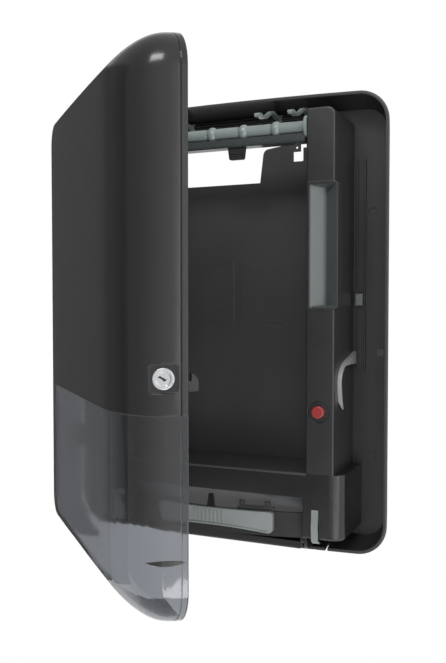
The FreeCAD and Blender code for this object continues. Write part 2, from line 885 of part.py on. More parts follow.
def make_gate_knob():
    """Catch that stands on the middle of the gate and tapers to its top."""
    back = -gate_reach + gate_thickness
    half = knob_width / 2
    top_half = knob_top_width / 2
    wedge = side_profile([(-gate_reach - 1.5, gate_top), (back, gate_top), (back, gate_top + knob_height),
                          (back - 2.5, gate_top + knob_height)], -half, half)
    front_view = plate([(-half, gate_top), (half, gate_top), (top_half, gate_top + knob_height),
                        (-top_half, gate_top + knob_height)], -far, 0)
    wedge = wedge.common(front_view)
    return round_edges(wedge, knob_corner, lambda p, e: near(p.z, gate_top + knob_height))


def make_release_tab():
    """Springy pale tab on the front of the cheek. Its toe is bent back under the cheek."""
    front = column_front - release_tab_thickness / 2
    crease = release_tab_crease
    toe = release_tab_bottom
    bow = release_tab_bow
    points = [(front, release_tab_top), (front - bow / 2, (release_tab_top + crease) / 2),
              (front - bow, crease), (front - bow / 2, (crease + frame_bottom) / 2),
              (front, frame_bottom - 0.5), (front + release_toe_length / 2, toe + 1.2),
              (front + release_toe_length, toe)]
    x0 = release_tab_inner
    x1 = x0 + release_tab_width
    return bent_strip(points, release_tab_thickness, x0, x1).cut(
        box(x0 - 1, x1 + 1, column_front, 0, frame_bottom, far))


def make_outlet_lip(tray):
    """Rounded lip that wraps over the housing's lower rim, under the throat."""
    front = rim_y - lip_proud
    back = rim_y + lip_depth
    half = lip_half_width
    nose = box(-half, half, front, rim_y, lip_bottom, lip_height)
    nose = round_edges(nose, lip_under_rounding,
                       lambda p, e: near(p.y, front) and near(p.z, lip_bottom))
    nose = round_edges(nose, lip_top_rounding,
                       lambda p, e: near(p.y, front) and near(p.z, lip_height))
    ends = box(-half, half, front - 1, rim_y + 1, lip_bottom, lip_height + 1)
    ends = round_edges(ends, lip_corner, lambda p, e: near(p.z, lip_bottom) and runs_along(e, "y"))
    ridge = box(-half, half, rim_y, rim_y + lip_thickness, rim_width + crown_rise, lip_height)
    shelf = box(-half, half, rim_y, back, rim_width, lip_shelf_top)
    return fuse([nose.common(ends), ridge, shelf]).cut(tray)


def roller_bead(x):
    """Round bead on the barrel: an arc turned about the roller's axis."""
    half = ring_width / 2
    foot = roller_z + roller_radius - ring_root
    left = vector(x - half, roller_y, foot)
    right = vector(x + half, roller_y, foot)
    arc = Part.Arc(left, vector(x, roller_y, roller_z + ring_radius), right).toShape()
    edges = [arc, Part.makeLine(right, vector(x + half, roller_y, roller_z))]
    edges.append(Part.makeLine(vector(x + half, roller_y, roller_z), vector(x - half, roller_y, roller_z)))
    edges.append(Part.makeLine(vector(x - half, roller_y, roller_z), left))
    return Part.Face(Part.Wire(edges)).revolve(vector(0, roller_y, roller_z), vector(1, 0, 0), 360)


def make_roller():
    """Guide roller: a slim barrel with round beads and a groove beside each bead."""
    half_length = column_inner - bracket_thickness - gate_side_gap
    barrel = rod_x(-half_length, half_length, roller_y, roller_z, roller_radius)
    pieces = [barrel]
    grooves = []
    for index in range(ring_count):
        x = (index - (ring_count - 1) / 2) * ring_pitch
        pieces.append(roller_bead(x))
        start = x - ring_width / 2 - roller_groove_width
        collar = rod_x(start, start + roller_groove_width, roller_y, roller_z, roller_radius + 1)
        neck = rod_x(start, start + roller_groove_width, roller_y, roller_z, roller_radius - roller_groove)
        grooves.append(collar.cut(neck))
    roller = fuse(pieces)
    for groove in grooves:
        roller = roller.cut(groove)
    bore = rod_x(-far, far, roller_y, roller_z, axle_radius + running_clearance)
    return roller.cut(bore)


def make_roller_axle():
    return rod_x(-column_inner, column_inner, roller_y, roller_z, axle_radius)


def rail_section(half_length):
    """Cradle under the roller, cut back round it by a running gap."""
    front = roller_y - rail_front
    back = roller_y + rail_back
    bottom = roller_z - rail_depth_below
    block = box(-half_length, half_length, front, back, bottom, roller_z - 2)
    block = round_edges(block, rail_corner, lambda p, e: near(p.z, bottom) and runs_along(e, "x"))
    return block.cut(rod_x(-far, far, roller_y, roller_z, ring_radius + rail_gap))


def make_roller_rail():
    rail = rail_section(column_inner - bracket_thickness)
    inner_room = box(-column_inner + 2 * bracket_thickness, column_inner - 2 * bracket_thickness,
                     roller_y + rail_corner + 2, roller_y + rail_back - 2,
                     roller_z - rail_depth_below + 2, roller_z)
    return rail.cut(inner_room)


def make_roller_bracket():
    """Right end plate: a round nose on the column that carries the axle and the rail."""
    x0 = column_inner - bracket_thickness
    nose = rod_x(x0, column_inner, roller_y, roller_z, bracket_radius)
    return nose.cut(rod_x(x0 - 1, column_inner + 1, roller_y, roller_z, axle_radius))


def make_web_tab():
    """Small tapered tab that hangs from the underside of the rail."""
    top = roller_z - rail_depth_below
    half = tab_width / 2
    points = [(tab_centre - half, top), (tab_centre + half, top),
              (tab_centre + half - tab_taper, top - tab_drop),
              (tab_centre - half + tab_taper, top - tab_drop)]
    y0 = roller_y - tab_thickness / 2
    tab = plate(points, y0, y0 + tab_thickness)
    tab = round_edges(tab, 2.0, lambda p, e: near(p.z, top - tab_drop) and runs_along(e, "y"))
    grooves = []
    for drop in (tab_drop - 3.2, tab_drop - 5.2):
        grooves.append(box(tab_centre - half, tab_centre + half, y0 - 1, y0 + 0.5,
                           top - drop - 0.4, top - drop + 0.4))
    for groove in grooves:
        tab = tab.cut(groove)
    return tab


def finger_places():
    """Two fingers a side, each midway between two of the roller's rings."""
    return [-2.5 * ring_pitch, -1.5 * ring_pitch, 1.5 * ring_pitch, 2.5 * ring_pitch]


def finger_shaft_half():
    return finger_places()[-1] + finger_width + finger_bracket_width + 2


def make_finger_shaft():
    half = finger_shaft_half()
    return rod_x(-half, half, shaft_y, shaft_z, finger_shaft_radius)


def make_fingers():
    """Wavy fingers with a hub each. They reach over the roller and hold the web down."""
    points = [(shaft_y, shaft_z)] + [(-reach, housing_height - drop) for reach, drop in finger_path]
    tip_y, tip_z = points[-1]
    fingers = []
    for x in finger_places():
        x0 = x - finger_width / 2
        x1 = x + finger_width / 2
        blade = bent_strip(points, finger_thickness, x0, x1)
        hub = rod_x(x0, x1, shaft_y, shaft_z, finger_shaft_radius + finger_hub_wall)
        bulb = rod_x(x0, x1, tip_y, tip_z, finger_tip_radius)
        shaft = rod_x(x0 - 1, x1 + 1, shaft_y, shaft_z, finger_shaft_radius)
        fingers.append(fuse([blade, hub, bulb]).cut(shaft))
    return Part.makeCompound(fingers)


def make_finger_bracket():
    """Right bearing block for the finger shaft, on the tray floor."""
    x0 = finger_places()[-1] + finger_width
    x1 = x0 + finger_bracket_width
    front = shaft_y - finger_shaft_radius - 2.5
    half = finger_bracket_height / 2
    block = box(x0, x1, floor_front, front, shaft_z - half, shaft_z + half)
    block = round_edges(block, 4.0, lambda p, e: near(p.y, front) and runs_along(e, "x"))
    block = block.cut(rod_x(x0 - 1, x1 + 1, shaft_y, shaft_z, finger_shaft_radius + running_clearance))
    return block.common(housing_block(floor_front, rim_y, housing_wall))


def make_side_clip():
    """Small pale catch on the tray floor, between column and side wall."""
    x0 = column_outer + clip_gap - clip_width / 2
    clip = box(x0, x0 + clip_width, floor_front, floor_front - clip_proud,
               clip_bottom, clip_bottom + clip_height)
    clip = round_edges(clip, clip_edge, lambda p, e: near(p.y, floor_front - clip_proud))
    for rib in floor_ribs():
        clip = clip.cut(rib)
    return clip


def make_brake_leaf():
    """Curved leaf on the outer wall of the right column. It widens into a gusset at its root."""
    x0 = column_outer
    x1 = column_outer + leaf_width
    points = [(-reach, leaf_top - drop) for reach, drop in leaf_path]
    leaf = bent_strip(points, leaf_thickness, x0, x1)
    tip_z = points[-1][1]
    root_z = leaf_top - leaf_root_drop
    gusset = side_profile([(floor_front, leaf_top + leaf_root_rise),
                           (points[0][0], points[0][1] + leaf_thickness / 2),
                           (points[1][0], points[1][1] + leaf_thickness / 2),
                           (-leaf_root_tip, root_z), (floor_front, root_z)], x0, x1)
    point = plate([(x0 - 1, tip_z - leaf_thickness), (x1, tip_z - leaf_thickness),
                   (x0 - 1, tip_z + leaf_tip_length)], -far, 0)
    leaf = fuse([leaf, gusset]).cut(point)
    for rib in floor_ribs():
        leaf = leaf.cut(rib)
    return leaf


def make_button():
    """Red push button with a slightly domed face and a rear stem inside the spring."""
    front = button_front
    cap = rod_y(front, front + button_length, button_x, button_height, button_radius)
    cap = cap.makeFillet(button_edge, [e for e in cap.Edges if e.Closed and near(e.valueAt(0).y, front)])
    stem = rod_y(front + button_length, front + button_length + button_stem_length, button_x, button_height,
                 button_spring_radius - button_spring_wire - button_stem_play)
    return fuse([cap, stem])


def make_button_bezel():
    """Ring round the button, sunk a little below the column's front."""
    front = column_front + bezel_sink
    back = column_front + 2 * column_wall
    ring = rod_y(front, back, button_x, button_height, bezel_radius)
    ring = ring.makeFillet(bezel_edge, [e for e in ring.Edges if e.Closed and near(e.valueAt(0).y, front)])
    return ring.cut(rod_y(front - 1, back + 1, button_x, button_height, button_radius + running_clearance))


def make_button_cup():
    """Cup inside the column that carries the button's spring."""
    front = column_front + 2 * column_wall
    back = front + button_cup_depth
    outer = rod_y(front, back, button_x, button_height, button_cup_radius)
    inner = rod_y(front, back - button_cup_wall, button_x, button_height, button_cup_radius - button_cup_wall)
    return outer.cut(inner)


def make_button_spring():
    """Space taken by the return spring, as a sleeve between button and cup."""
    front = button_front + button_length
    back = column_front + 2 * column_wall + button_cup_depth - button_cup_wall
    sleeve = rod_y(front, back, button_x, button_height, button_spring_radius)
    return sleeve.cut(rod_y(front, back, button_x, button_height, button_spring_radius - button_spring_wire))


def make_column_screws():
    screws = []
    for x, z in screw_places():
        head = rod_y(floor_back, floor_back + screw_head_height, x, z, screw_head_radius)
        shank = rod_y(floor_back, floor_back - screw_length, x, z, screw_radius)
        slot = box(x - screw_head_radius, x + screw_head_radius,
                   floor_back + screw_head_height - screw_slot_depth, floor_back + screw_head_height + 1,
                   z - screw_slot_width / 2, z + screw_slot_width / 2)
        screws.append(fuse([head, shank]).cut(slot))
    return Part.makeCompound(screws)


def lock_tongue_room():
    """Space that the tongue needs over its whole travel, with play all round."""
    return box(tongue_x - tongue_play, tongue_x + tongue_thickness + tongue_play,
               -tongue_root_reach - tongue_play, rim_y + 1, tongue_bottom - tongue_play,
               tongue_top + tongue_travel + tongue_play)


def make_keeper():
    """Strike lip on the right wall. The tongue passes under it, then slides up behind it."""
    x0 = tongue_x - keeper_margin
    x1 = housing_width / 2
    z0 = tongue_top + keeper_margin
    z1 = z0 + keeper_height
    lip = box(x0, x1, keeper_front, keeper_front + keeper_wall, z0, z1)
    web = box(x0, x1, keeper_front, -keeper_web_reach, z1 - keeper_wall, z1)
    inside = fuse([housing_block(floor_front, rim_y + rim_band, housing_wall),
                   housing_block(rim_y + rim_band, rim_y, rim_width)])
    return fuse([lip, web]).common(inside)


def cover_outline(turn, inward, y_rim, depth):
    """Outline of the cover where its rounded edge has turned by `turn` from rim to front face."""
    rise = math.sin(turn) ** (2 / side_power)
    share = 1 - max(math.cos(turn), 0.0) ** (2 / side_power)
    side = side_inset * share
    rounding = front_rounding * share ** 4
    top = top_inset * rise ** end_rise + rounding
    bottom = bottom_inset * rise ** end_rise + rounding
    radius = corner_radius - (corner_radius - front_corner_radius) * share - inward
    crown = crown_radius / (1 - share / 2) - inward
    return outline(housing_width / 2 - inward - side, housing_height - inward - top, inward + bottom, radius,
                   crown, y_rim - depth * rise)


def cover_block(inward):
    """Domed solid of the cover, or of the room inside it when `inward` is its wall."""
    start = cover_rim_y if inward == 0 else cover_rim_y + 1
    depth = cover_depth - inward + (cover_rim_y - start) * -1
    turns = [math.radians(angle) for angle in (0, 14, 26, 38, 50, 61, 71, 79, 85, 90)]
    return loft([cover_outline(turn, inward, start, depth) for turn in turns])


def cover_skin(depth):
    """Outer layer of the cover, as thick as `depth`."""
    return cover_block(0).cut(cover_block(depth))


def make_cover_wall():
    """Whole cover as one shell, before it is parted at the level line."""
    wall = fuse([cover_skin(cover_wall), lock_seat()])
    relief = box(-far, hinge_x, cover_rim_y - hinge_relief + cover_gap, far, -1, housing_height + 1)
    bead_room = rod_z(-1, housing_height + 1, hinge_x, hinge_y, hinge_bead_radius + knuckle_end_gap)
    wall = wall.cut(relief).cut(bead_room)
    outlet = box(-outlet_half_width, outlet_half_width, -outlet_front_reach, far, -1, level_height / 2)
    outlet = round_edges(outlet, outlet_corner,
                         lambda p, e: near(p.y, -outlet_front_reach) and runs_along(e, "z"))
    wall = wall.cut(outlet)
    arch_radius = (outlet_half_width ** 2 + outlet_arch ** 2) / (2 * outlet_arch)
    arch = rod_y(-far, cover_rim_y, 0, outlet_edge_height + outlet_arch - arch_radius, arch_radius)
    wall = wall.cut(arch.common(box(-outlet_half_width, outlet_half_width, -far,
                                    -outlet_front_reach + outlet_arch_depth, -far, far)))
    wall = wall.cut(lock_recess_room()).cut(lock_barrel_room())
    return wall.cut(make_grip_inlay()).cut(make_edge_line())


def at_lock(shape):
    """Move a shape drawn round the origin, with X outwards, to the lock on the cover's side."""
    placed = shape.copy()
    placed.rotate(vector(0, 0, 0), vector(0, 0, 1), -lock_tilt)
    placed.translate(vector(lock_x, -lock_reach, lock_height))
    return placed


def lock_square(x0, x1, half, corner):
    block = box(x0, x1, -half, half, -half, half)
    return at_lock(round_edges(block, corner, lambda p, e: runs_along(e, "x")))


def lock_recess_room():
    """Square sinking with round corners in the cover's side wall, round the lock."""
    return lock_square(-lock_sink, 2 * lock_recess, lock_recess / 2, lock_recess_corner)


def lock_seat():
    """Thicker patch of the side wall that gives the sinking its floor."""
    half = lock_recess / 2 + lock_seat_margin
    corner = lock_recess_corner + lock_seat_margin
    return lock_square(-lock_sink - lock_seat_thickness, lock_recess, half, corner).common(cover_block(0))


def lock_barrel_room():
    reach = lock_sink + lock_barrel_length + 1
    return at_lock(rod_x(-reach, lock_recess, 0, 0, lock_barrel_radius + running_clearance))


def make_edge_line():
    """Fine groove that runs round the cover a little in front of its rim."""
    y1 = cover_rim_y - edge_line_reach
    slab = box(-far, far, y1, y1 - edge_line_width, -far, far)
    return slab.common(cover_skin(edge_line_depth))


def make_grip_inlay():
    """Lens-shaped dark grip mark let into the side wall, level with its surface."""
    y0 = -grip_reach - grip_length / 2
    y1 = -grip_reach + grip_length / 2
    x0 = lock_box_inner_x
    ends = (vector(x0, y0, grip_height), vector(x0, y1, grip_height))
    upper = Part.Arc(ends[0], vector(x0, -grip_reach, grip_height + grip_width / 2), ends[1]).toShape()
    lower = Part.Arc(ends[1], vector(x0, -grip_reach, grip_height - grip_width / 2), ends[0]).toShape()
    lens = Part.Face(Part.Wire([upper, lower])).extrude(vector(housing_width, 0, 0))
    return lens.common(cover_skin(grip_depth))


def make_hinge_arms(cover):
    """Two knuckles with arms that reach forward to the inside of the cover's left wall."""
    arms = []
    for height in hinge_heights:
        z0 = height - knuckle_length / 2
        z1 = height + knuckle_length / 2
        knuckle = rod_z(z0, z1, hinge_x, hinge_y, hinge_bead_radius)
        left = -housing_width / 2 + 0.8
        arm = box(left, hinge_x + arm_width, hinge_y - arm_depth, hinge_y, z0, z1)
        arm = arm.cut(box(left - 1, hinge_x, hinge_y - hinge_relief, hinge_y + 1, z0, z1))
        arm = arm.common(cover_block(edge_line_depth + cover_gap)).cut(cover)
        bore = rod_z(z0 - 1, z1 + 1, hinge_x, hinge_y, hinge_pin_radius + running_clearance)
        lid = box(hinge_x, hinge_x + hinge_bead_radius, cover_rim_y - 2, hinge_y, z0, z1)
        solid = fuse([knuckle, arm, lid]).cut(bore)
        arms.append(solid)
    return Part.makeCompound(arms)


def make_lock_box(cover):
    """Housing of the lock inside the cover's right wall, with a slot for the tongue."""
    x0 = lock_box_inner_x
    half = lock_box_width / 2
    block = box(x0, housing_width / 2, -lock_reach - half, cover_rim_y - lock_box_setback,
                tongue_bottom - lock_box_floor, tongue_top + tongue_travel + lock_box_head)
    block = round_edges(block, lock_box_corner, lambda p, e: near(p.x, x0))
    block = block.common(cover_block(cover_wall)).cut(cover).cut(lock_recess_room())
    return block.cut(lock_barrel_room()).cut(lock_tongue_room())


def keyway(x0, x1):
    """S-shaped key slot: two short strokes at different heights, joined by a step."""
    half_length = keyway_length / 2
    half_width = keyway_width / 2
    half_step = keyway_step / 2
    upper = box(x0, x1, -half_length, half_width, half_step - half_width, half_step + half_width)
    lower = box(x0, x1, -half_width, half_length, -half_step - half_width, -half_step + half_width)
    step = box(x0, x1, -half_width, half_width, -half_step - half_width, half_step + half_width)
    return fuse([upper, step, lower])


def lock_head_front():
    return -lock_sink + running_clearance + lock_head_thickness


def make_lock_cylinder():
    """Bright lock: dished round head with a keyway, and a barrel behind it."""
    head_back = -lock_sink + running_clearance
    head_front = lock_head_front()
    head = rod_x(head_back, head_front, 0, 0, lock_head_radius)
    head = head.makeFillet(0.7, [e for e in head.Edges if e.Closed and near(e.valueAt(0).x, head_front)])
    dish = Part.makeCone(lock_dish_radius - lock_dish_slope, lock_dish_radius, lock_dish_depth,
                         vector(head_front - lock_dish_depth, 0, 0), vector(1, 0, 0))
    barrel = rod_x(head_back - lock_barrel_length, head_back, 0, 0, lock_barrel_radius)
    slot = keyway(head_front - keyway_depth, head_front + 1)
    return at_lock(fuse([head, barrel]).cut(dish).cut(slot))


def make_keyway_shutter():
    """Dark shutter a little way inside the key slot."""
    front = lock_head_front() - lock_dish_depth - shutter_setback
    return at_lock(keyway(front - shutter_thickness, front))


def make_latch_tongue():
    """Sliding tongue: rounded nose past the rim and a notch that the keeper's lip fits."""
    x1 = tongue_x + tongue_thickness
    tongue = box(tongue_x, x1, -tongue_root_reach, -tongue_tip_reach, tongue_bottom, tongue_top)
    tongue = round_edges(tongue, tongue_nose,
                         lambda p, e: near(p.y, -tongue_tip_reach) and near(p.z, tongue_top)
                         and runs_along(e, "x"))
    play = (tongue_notch - keeper_wall) / 2
    notch = box(tongue_x - 1, x1 + 1, keeper_front - play, keeper_front + keeper_wall + play,
                tongue_top - tongue_notch_depth, tongue_top + 1)
    return tongue.cut(notch)


os.makedirs("parts", exist_ok=True)

housing = make_housing()
save("rear_housing", housing)
save("back_panel", make_back_panel())

column = make_column()
button_hole = rod_y(-far, column_front + 2 * column_wall, button_x, button_height, bezel_radius)
right_column = column.cut(button_hole)
right_column = round_edges(right_column, bezel_edge, lambda p, e: e.Closed and near(p.y, column_front))
save("right_column", right_column)
save("left_column", mirror_x(column))
insert = make_insert()
save("right_insert", insert)
save("left_insert", mirror_x(insert))

save("towel_shelf", make_towel_shelf())
save("lower_frame", make_lower_frame())
save("throat_ramp", make_throat_ramp())
save("outlet_lip", make_outlet_lip(housing))
release_tab = make_release_tab()
save("right_release_tab", release_tab)
save("left_release_tab", mirror_x(release_tab))

save("gate_plate", make_gate_plate())
save("gate_handle", make_handle())
save("gate_knob", make_gate_knob())
guide = make_gate_guides()
save("right_gate_guide", guide)
save("left_gate_guide", mirror_x(guide))

save("guide_roller", make_roller())
save("roller_axle", make_roller_axle())
save("roller_rail", make_roller_rail())
bracket = make_roller_bracket()
save("right_roller_bracket", bracket)
save("left_roller_bracket", mirror_x(bracket))
save("web_tab", make_web_tab())

save("web_fingers", make_fingers())
save("finger_shaft", make_finger_shaft())
finger_bracket = make_finger_bracket()
save("right_finger_bracket", finger_bracket)
save("left_finger_bracket", mirror_x(finger_bracket))

clip = make_side_clip()
save("right_side_clip", clip)
save("left_side_clip", mirror_x(clip))
save("brake_leaf", make_brake_leaf())

save("push_button", make_button())
save("button_bezel", make_button_bezel())
save("button_cup", make_button_cup())
save("button_spring", make_button_spring())

save("column_screws", make_column_screws())
save("lock_keeper", make_keeper())
save("hinge_pins", Part.makeCompound(pin_rods(hinge_pin_radius)))

cover = make_cover_wall()
upper_half = box(-far, far, -far, far, level_height, far)
lower_half = box(-far, far, -far, far, -far, level_height)
save("cover_shell", cover.common(upper_half), opened=True)
save("cover_window", cover.common(lower_half), opened=True)
save("cover_hinge_arms", make_hinge_arms(cover), opened=True)
save("lock_box", make_lock_box(cover), opened=True)
save("grip_inlay", make_grip_inlay(), opened=True)
save("lock_cylinder", make_lock_cylinder(), opened=True)
save("keyway_shutter", make_keyway_shutter(), opened=True)
save("latch_tongue", make_latch_tongue(), opened=True)
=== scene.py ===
# %% [markdown]
# # A wall dispenser for a continuous web of hand towels, cover open
#
# This lesson dresses a finished CAD model. The CAD part gives every solid piece its true place and
# size, and it also says what moves. Here we give each piece the finish of its real material, add
# the few pieces that a mesh tool makes better than CAD does, and light the whole as a studio
# would.

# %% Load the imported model
import json
import math

import bmesh
import bpy
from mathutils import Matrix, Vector


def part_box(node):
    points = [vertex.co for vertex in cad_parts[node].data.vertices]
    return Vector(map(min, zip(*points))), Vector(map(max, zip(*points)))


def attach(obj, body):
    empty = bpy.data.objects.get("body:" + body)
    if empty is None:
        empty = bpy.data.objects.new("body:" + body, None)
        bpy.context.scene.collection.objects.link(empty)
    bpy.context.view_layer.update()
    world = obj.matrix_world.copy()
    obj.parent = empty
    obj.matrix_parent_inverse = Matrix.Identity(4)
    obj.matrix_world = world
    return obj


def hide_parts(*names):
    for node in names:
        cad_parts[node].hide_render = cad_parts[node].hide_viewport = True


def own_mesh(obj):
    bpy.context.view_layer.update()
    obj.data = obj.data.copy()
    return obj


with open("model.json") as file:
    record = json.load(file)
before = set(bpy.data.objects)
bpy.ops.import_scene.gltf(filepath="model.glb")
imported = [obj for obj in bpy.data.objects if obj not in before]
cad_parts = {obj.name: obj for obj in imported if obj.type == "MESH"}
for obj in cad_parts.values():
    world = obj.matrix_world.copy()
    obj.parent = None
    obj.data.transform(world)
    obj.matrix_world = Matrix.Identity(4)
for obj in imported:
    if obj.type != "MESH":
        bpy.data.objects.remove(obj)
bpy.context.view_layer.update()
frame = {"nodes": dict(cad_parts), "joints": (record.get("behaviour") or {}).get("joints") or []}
nodes = frame["nodes"]


# %% [markdown]
# ## One place for sizes and colours
#
# Blender works in metres and in linear colour. A maker thinks in millimetres and in the hex
# colours of a swatch. Two small functions turn one into the other, so every number below can be
# read as it is on the real thing. A pattern's scale is one over its size, so `per_mm` turns a
# grain of so many millimetres into the scale that a texture node wants.

# %% Millimetres and hex colours
MM = 0.001


def per_mm(size):
    """Texture scale of a pattern whose repeat is `size` millimetres."""
    return 1.0 / (size * MM)


def colour(hex_text, alpha=1.0):
    """sRGB hex swatch as linear red, green, blue and alpha."""
    values = []
    for start in (0, 2, 4):
        share = int(hex_text[start:start + 2], 16) / 255.0
        values.append(share / 12.92 if share <= 0.04045 else ((share + 0.055) / 1.055) ** 2.4)
    return (*values, alpha)


print("mid grey in linear light:", [round(value, 3) for value in colour("808080")])

# %% [markdown]
# ## One way to add a shader node
#
# A material is a small network. Each node has settings, such as its scale, and links from other
# nodes. One function does both, so a material below reads as a list of what is joined to what.

# %% Add a node with its settings and links
def add(material, kind, settings=None, links=None):
    """New shader node. `settings` are its options and input values, `links` are input: output."""
    tree = material.node_tree
    node = tree.nodes.new("ShaderNode" + kind)
    for name, value in (settings or {}).items():
        if isinstance(name, int) or name in node.inputs:
            node.inputs[name].default_value = value
        else:
            setattr(node, name, value)
    for name, output in (links or {}).items():
        tree.links.new(output, node.inputs[name])
    return node


def new_material(name):
    material = bpy.data.materials.new(name)
    material.use_nodes = True
    material.node_tree.nodes.clear()
    return material


def finish_material(material, surface):
    """Join the last shader to the output."""
    add(material, "OutputMaterial", links={"Surface": surface.outputs[0]})
    print("made", material.name, "with", len(material.node_tree.nodes), "nodes")
    return material


# %% [markdown]
# ## Moulded plastics
#
# Nearly all of the dispenser is injection-moulded ABS. The tool's surface decides how it looks: a
# polished tool gives the gloss of the cover, and a spark-eroded tool gives the fine matt grain
# inside. Both share one recipe. The mould leaves no sharp edge, so the Bevel node rounds the light
# over each edge by a millimetre or so. A slow noise shifts the colour a little, as resin flow does.
# A second one changes the gloss, as handling does. A third makes the skin slightly wavy, because
# plastic shrinks as it cools, and the finest is the grain itself.

# %% The recipe for a moulded plastic
ABS_IOR = 1.53
RESIN_FLOW_MM = 70.0
HANDLING_MM = 16.0
NOISE_LOW, NOISE_HIGH = 0.3, 0.7


def moulded_plastic(name, dark, light, roughness, grain_mm, grain_depth_mm, edge_mm=0.5,
                    wave_mm=9.0, wave_depth_mm=0.01, spread=0.08, **shader):
    """Plastic with flow shading between two swatches, a moulded grain and softened edges."""
    material = new_material(name)
    place = add(material, "TexCoord")
    flow = add(material, "TexNoise",
               {"Scale": per_mm(RESIN_FLOW_MM), "Detail": 3.0, "Roughness": 0.55},
               {"Vector": place.outputs["Object"]})
    tone = add(material, "ValToRGB", links={"Fac": flow.outputs["Fac"]})
    tone.color_ramp.elements[0].position = 0.30
    tone.color_ramp.elements[0].color = colour(dark)
    tone.color_ramp.elements[1].position = 0.72
    tone.color_ramp.elements[1].color = colour(light)
    marks = add(material, "TexNoise",
                {"Scale": per_mm(HANDLING_MM), "Detail": 6.0, "Roughness": 0.7},
                {"Vector": place.outputs["Object"]})
    gloss = add(material, "MapRange",
                {"From Min": NOISE_LOW, "From Max": NOISE_HIGH,
                 "To Min": roughness - spread / 2, "To Max": roughness + spread / 2},
                {"Value": marks.outputs["Fac"]})
    rounded = add(material, "Bevel", {"samples": 6, "Radius": edge_mm * MM})
    wave = add(material, "TexNoise", {"Scale": per_mm(wave_mm), "Detail": 1.0},
               {"Vector": place.outputs["Object"]})
    skin = add(material, "Bump", {"Strength": 0.6, "Distance": wave_depth_mm * MM},
               {"Height": wave.outputs["Fac"], "Normal": rounded.outputs["Normal"]})
    grain = add(material, "TexNoise",
                {"Scale": per_mm(grain_mm), "Detail": 2.0, "Roughness": 0.6},
                {"Vector": place.outputs["Object"]})
    grained = add(material, "Bump", {"Strength": 0.8, "Distance": grain_depth_mm * MM},
                  {"Height": grain.outputs["Fac"], "Normal": skin.outputs["Normal"]})
    surface = add(material, "BsdfPrincipled", {"IOR": ABS_IOR, **shader},
                  {"Base Color": tone.outputs["Color"], "Roughness": gloss.outputs["Result"],
                   "Normal": grained.outputs["Normal"]})
    return finish_material(material, surface)


# %% [markdown]
# ## The blacks
#
# Moulded black is not one black. From a polished tool it is deep, because all that it sends back is
# one clear reflection. From a grained tool it looks greyer, because every grain sends a little
# light to the eye. The housing, the back panel and shelf, the columns and the small black parts in
# the compartment also start from a lighter swatch. That lift is painted light, which brightens the
# deep shade inside the compartment. Their grain is drawn 0.8 or 0.9 mm wide, which is coarser than
# the real one, so that it shows at all. The lower frame, the gate's plate and the latch tongue
# start from a darker swatch. That is painted shade, which dims the lamps' reflections on them. The
# tongue and the plate are also the dullest plastic. The keyway is painted shade too: a near-black
# piece stands for the dark inside its slot. The same recipe serves for it, with an edge of 0.05 mm.

# %% The black plastics
gloss_abs = moulded_plastic("gloss_black_abs", "0e0e0f", "131314", 0.20, 1.1, 0.001, edge_mm=1.6,
                            wave_mm=30.0, wave_depth_mm=0.004, spread=0.05)
# The next three blacks have lighter swatches, painted light that lifts the shade inside the
# compartment.
tray_painted_light_abs = moulded_plastic("satin_black_abs_painted_light", "29292a", "2e2e2f", 0.36, 0.9, 0.006, edge_mm=0.7)
panel_painted_light_abs = moulded_plastic("matt_black_abs_painted_light", "3a3a3b", "404041", 0.42, 0.9, 0.006, edge_mm=0.7)
grained_painted_light_abs = moulded_plastic("spark_grained_black_abs_painted_light", "262627", "2c2c2d", 0.32, 0.8, 0.012,
                              edge_mm=0.8, spread=0.10)
# The next two blacks have darker swatches, painted shade that dims the lamps' reflections on them.
frame_painted_shade_abs = moulded_plastic("semi_gloss_black_abs_painted_shade", "161617", "1c1c1d", 0.30, 0.8, 0.008,
                            edge_mm=0.8)
tongue_painted_shade_abs = moulded_plastic("dull_black_abs_painted_shade", "101011", "161617", 0.55, 0.9, 0.012, edge_mm=0.6)
dark_abs = moulded_plastic("polished_black_abs", "121213", "19191a", 0.16, 0.9, 0.003,
                           edge_mm=0.4)
# A near-black swatch, painted shade for the inside of the keyway's slot.
keyway_painted_shade = moulded_plastic("keyway_painted_shade_black", "060606", "0b0b0b", 0.6, 0.9, 0.003,
                               edge_mm=0.05)

# %% [markdown]
# ## The greys and the red
#
# The greys are the same plastic with more pigment, one swatch for each kind of piece. The insert's
# darker side comes from its scoop alone, so it has one colour and hardly any grain, because a
# coarser one would mottle its soft shading. The roller, its brackets, the web fingers and the
# curved leaf are acetal, a slippery, waxy plastic. On the roller it has a narrow highlight on a
# slightly wavy skin. The button is the one bright colour, so that it is found at once.

# %% The grey and red plastics
insert_abs = moulded_plastic("satin_grey_abs", "464b4c", "4d5252", 0.30, 0.9, 0.004, edge_mm=0.5,
                             wave_mm=40.0, wave_depth_mm=0.002, spread=0.02)
clip_abs = moulded_plastic("neutral_grey_abs", "626565", "6a6d6d", 0.30, 0.9, 0.006, edge_mm=0.4)
roller_acetal = moulded_plastic("grey_acetal", "747e7c", "7f8987", 0.13, 1.4, 0.006, edge_mm=0.6,
                                wave_mm=5.0, wave_depth_mm=0.02)
rail_abs = moulded_plastic("mid_grey_abs", "363b3b", "3f4444", 0.28, 0.9, 0.012)
pale_abs = moulded_plastic("pale_grey_abs", "787e7d", "868c8b", 0.24, 0.9, 0.01, edge_mm=0.4)
leaf_acetal = moulded_plastic("natural_grey_acetal", "8b8b8d", "979799", 0.30, 1.1, 0.006,
                              edge_mm=0.4)
ramp_abs = moulded_plastic("slate_grey_abs", "3c3e40", "48494b", 0.40, 0.9, 0.012)
red_abs = moulded_plastic("polished_red_abs", "8c3030", "983535", 0.24, 1.2, 0.004, edge_mm=0.4)

